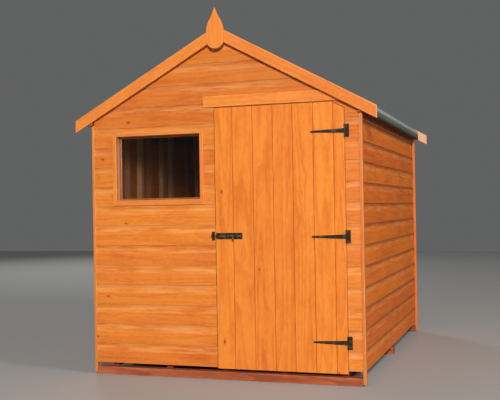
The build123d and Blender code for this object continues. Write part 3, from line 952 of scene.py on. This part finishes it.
def down_slope(start, end, lift, steps):
    return [on_slope(start + (end - start) * i / steps, lift) for i in range(steps + 1)]


def slope_strips(side):
    corner = batten_out + 0.0004
    turned_down = down_slope(0.300, corner, 0.0003, 11) + [(corner, felt_low.z + 0.0005)]
    pieces = gather([felt_strip(turned_down, 0.0007),
                     felt_strip(down_slope(0.012, 0.372, 0.0036, 8), 0.0005)])
    pieces.transform(Matrix.Diagonal((side, 1, 1, 1)))
    return pieces


for name, side in (("right", 1), ("left", -1)):
    fit(name + "_felt_strips", slope_strips(side), felt_finish, "roof_felt", (name + "_felt",))

cap_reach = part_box("felt_ridge_cap")[1].x
cap_line = down_slope(-cap_reach, 0, 0.0066, 5) + down_slope(0, cap_reach, 0.0066, 5)[1:]
fit("felt_ridge_strip", felt_strip(cap_line, 0.0004), felt_finish, "roof_felt",
    ("felt_ridge_cap",))

# %% [markdown]
# ## Fixings
# There are hundreds of nails, so each head is a low cone of a few faces that one
# function copies to a list of places. Nails stand in pairs on every board, over each
# stud, so their places are worked out and none is typed in.

# %% Nail heads and where they stand
def heads(places, outward, radius, stand, sides=8, sink=0.0006):
    """One low head at each place, facing outward."""
    bm = bmesh.new()
    turn = Vector(outward).to_track_quat("Z", "Y").to_matrix().to_4x4()
    for place in places:
        centre = Vector(place) + Vector(outward).normalized() * (stand - sink) / 2
        bmesh.ops.create_cone(bm, cap_ends=True, segments=sides, radius1=radius,
                              radius2=radius * 0.72, depth=stand + sink,
                              matrix=Matrix.Translation(centre) @ turn)
    return bm


def rows_on(foot, top):
    """Two nail heights on each board."""
    heights = []
    while foot < top:
        heights += [foot + 0.022, foot + 0.066]
        foot += board_cover
    return heights


def middles(node):
    bm = drawn_part(node)
    found = []
    for faces in islands(bm):
        points = [vert.co for face in faces for vert in face.verts]
        found.append(tuple((min(p[i] for p in points) + max(p[i] for p in points)) / 2
                           for i in range(3)))
    bm.free()
    return sorted(found)


print("the front has studs at", [round(x, 3) for x, _, _ in middles("front_studs")])

# %% [markdown]
# The nails took the boards' stain and hardly show, so their heads stand less than
# half a millimetre proud. No nail may hit the window, the door or the roof.

# %% Wall nails
def under_roof(x, z):
    return z < ridge - rise * abs(x) - 0.09


def on_front(x, z):
    """True where a nail would hit a front board."""
    beside_window = not (window_low.x - 0.03 < x < window_high.x + 0.03
                         and window_low.z - 0.04 < z < window_high.z + 0.03)
    beside_door = not (door_left < x < door_right and z < door_head + 0.075)
    return beside_window and beside_door and under_roof(x, z)


gable_rows = rows_on(wall_foot, ridge)
front_nails = [(x, front_face, z) for x, _, _ in middles("front_studs")
               for z in gable_rows if on_front(x, z)]
rear_nails = [(x, rear_face, z) for x, _, _ in middles("rear_studs")
              for z in gable_rows if under_roof(x, z)]
right_nails = [(side_face, y, z) for _, y, _ in middles("right_studs")
               for z in rows_on(side_low.z, felt_low.z)]
left_nails = [(-x, y, z) for x, y, z in right_nails]
nails_facing = ((front_nails, (0, -1, 0)), (rear_nails, (0, 1, 0)),
                (right_nails, (1, 0, 0)), (left_nails, (-1, 0, 0)))
fit("wall_nails", gather([heads(places, outward, 0.0026, 0.0004)
                          for places, outward in nails_facing]),
    wall_nail_finish, "black_iron")

# %% [markdown]
# Felt is held with clout nails, whose wide flat heads do not pull through. They stand
# in rows along each lap, the verges, the cap and the turned-down edge. They are
# galvanised, as plain wire nails would rust in a few years.

# %% Clout nails in the felt
slope_out = Vector((sin(pitch), 0, cos(pitch)))
from_end = 0.02
nail_spaces = 24


def felt_nails(side):
    along = [felt_low.y + from_end + i * (felt_length - 2 * from_end) / nail_spaces
             for i in range(nail_spaces + 1)]
    verges = (felt_low.y + 0.018, felt_high.y - 0.018)
    lap_row = [(0.362, y) for y in along]
    verge_rows = [(x, y) for y in verges
                  for x in (0.20, 0.28, 0.44, 0.52, 0.60, 0.68, 0.76, 0.84)]
    cap_row = [(cap_reach - 0.012, y) for y in along]
    top = [Vector((x, y, on_slope(x, lift)[1])) for row, lift in
           ((lap_row, 0.0066), (verge_rows, 0.0036), (cap_row, 0.0098)) for x, y in row]
    drip = [(batten_out + felt_thick + 0.0010, y, felt_low.z + 0.030) for y in along]
    bm = gather([heads(top, slope_out, 0.0048, 0.0009, sides=10),
                 heads(drip, (1, 0, 0), 0.0048, 0.0009, sides=10)])
    bm.transform(Matrix.Diagonal((side, 1, 1, 1)))
    return bm


for name, side in (("right", 1), ("left", -1)):
    fit(name + "_felt_nails", felt_nails(side), felt_nail_finish, "black_iron")

# %% [markdown]
# The ironwork is fixed with black round-headed screws. A round head is a flattened
# ball, cut off at its foot, with one slot sawn across it. Every slot stands at its own
# angle, as a screwdriver leaves it.

# %% Round-headed screws
chance = random.Random(5)


def round_screws(places, radius):
    """Slotted round heads on a face that looks to the front."""
    made = []
    for place in places:
        ball = bmesh.new()
        bmesh.ops.create_uvsphere(ball, u_segments=16, v_segments=8, radius=radius)
        bmesh.ops.scale(ball, vec=(1, 0.62, 1), verts=ball.verts)
        saw(ball, (0, 0.0003, 0), (0, 1, 0))
        slot = block((-0.0005, -radius, -radius * 1.2), (0.0005, -radius * 0.36, radius * 1.2))
        slot.transform(Matrix.Rotation(chance.uniform(0, pi), 4, "Y"))
        head = carve(ball, slot)
        head.transform(Matrix.Translation(place))
        made.append(head)
    return gather(made)

# %% [markdown]
# Each hinge has four screws in its plate and four in its strap, the bolt's plate one
# near each corner, and its keep one above and one below the rod. One table makes them
# all, and its order decides each slot's angle.

# %% Where the screws go
levels = sorted({round(z, 3) for _, _, z in middles("hinge_straps")})
print("hinges at heights", levels)
hinge_pin = frame["joints"][0]["pos_m"][0]
plate_mid = (hinge_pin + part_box("hinge_plates")[1].x) / 2 + 0.003
bolt_low, bolt_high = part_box("bolt_plate")
bolt_mid = (bolt_low.z + bolt_high.z) / 2
keep_mid = (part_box("bolt_keep")[0].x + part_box("bolt_keep")[1].x) / 2
plate_holes = ((-0.005, 0.030), (0.006, 0.014), (0.006, -0.014), (-0.005, -0.030))
strap_holes = ((-0.024, 0.006), (-0.060, -0.005), (-0.118, 0.0), (-0.188, 0.0))
on_plate = [(plate_mid + dx, z + dz) for z in levels for dx, dz in plate_holes]
on_strap = [(hinge_pin + dx, z + dz) for z in levels for dx, dz in strap_holes]
on_bolt = [(x, bolt_mid + dz) for x in (bolt_low.x + 0.024, bolt_high.x - 0.012)
           for dz in (-0.0125, 0.0125)]
on_keep = [(keep_mid, bolt_mid + dz) for dz in (-0.0195, 0.0195)]
for name, holes, thick, radius, body in (
        ("hinge_plate", on_plate, 0.003, 0.0042, "shed"),
        ("hinge_strap", on_strap, 0.003, 0.0038, "door"),
        ("bolt_plate", on_bolt, 0.0025, 0.0034, "door"),
        ("bolt_keep", on_keep, 0.0025, 0.0034, "shed")):
    screws = round_screws([(x, front_face - thick, z) for x, z in holes], radius)
    fit(name + "_screws", screws, iron_finish, "black_iron", body=body)

# %% [markdown]
# The ironwork and the glass are fine enough already, so they keep the part's own
# shape and only take a finish.

# %% Finishes on the parts that stay
kept = dict.fromkeys(("hinge_plates", "hinge_straps", "bolt_keep", "bolt_plate"), iron_finish)
kept |= {"window_glass": glass_finish, "bolt_rod": rod_wear_and_glint}
for node, material in kept.items():
    mesh = frame["nodes"][node].data
    mesh.materials.clear()
    mesh.materials.append(material)
print("kept as they are:", sorted(kept))

# %% [markdown]
# ## Studio
# The floor is plain and matt, so nothing but the shed draws the eye. It is one wide
# square that belongs to the picture and not to the shed.

# %% Floor
floor_half = 14
grid = bmesh.new()
bmesh.ops.create_grid(grid, x_segments=1, y_segments=1, size=floor_half)
ground = loose_object(grid, "studio_floor")
pale_floor = Finish("pale_floor")
pale_floor.shade(Base_Color=(0.46, 0.455, 0.44), Roughness=0.9)
ground.data.materials.append(pale_floor.material)
print("the floor is", 2 * floor_half, "m wide")

# %% [markdown]
# A low key light to the right of the front gives the bargeboards and the finial short
# shadows. A weaker one opens the right-hand wall, a faint one the back, and a pale
# surround fills the rest. One wide light would leave the laps without a dark line.

# %% Lights
def soft_light(name, place, aim, size, power, tint):
    lamp = bpy.data.lights.new(name, "AREA")
    lamp.shape = "DISK"
    lamp.size = size
    lamp.energy = power
    lamp.color = tint
    holder = new_object(name, lamp)
    holder.location = place
    holder.rotation_euler = (Vector(aim) - Vector(place)).to_track_quat("-Z", "Y").to_euler()


soft_light("key", (4.05, -12.95, 4.9), (0, 0, 1.1), 1.3, 1500, (1.0, 0.97, 0.93))
soft_light("side", (9.5, -3.5, 5.8), (0, 0, 1.0), 2.4, 335, (1.0, 0.96, 0.90))
soft_light("back", (-7.5, 9.5, 6.5), (0, 0, 1.0), 3.0, 260, (0.95, 0.97, 1.0))

world = bpy.data.worlds.new("pale_room")
world.use_nodes = True
surround = world.node_tree.nodes["Background"].inputs
surround["Color"].default_value = (0.86, 0.87, 0.88, 1.0)
surround["Strength"].default_value = 0.14
bpy.context.scene.world = world
bpy.context.scene.view_settings.view_transform = "Standard"
print("lights:", sorted(light.name for light in bpy.data.lights))

# %% [markdown]
# The camera stands at the height of a child's eyes, to the right of the door. A
# swing, a lift and a roll are easier to read than one matrix, so it is turned three
# times.

# %% Camera
swing, lift, roll = 0.3235, 0.0087, -0.0170
camera = new_object("camera", bpy.data.cameras.new("camera"))
camera.data.lens = 61.3
camera.data.sensor_width = 36
camera.matrix_world = (Matrix.Translation((1.897, -6.246, 1.091))
                       @ Matrix.Rotation(swing, 4, "Z")
                       @ Matrix.Rotation(pi / 2 + lift, 4, "X")
                       @ Matrix.Rotation(roll, 4, "Z"))
bpy.context.scene.camera = camera
print("the camera stands at", camera.matrix_world.translation)
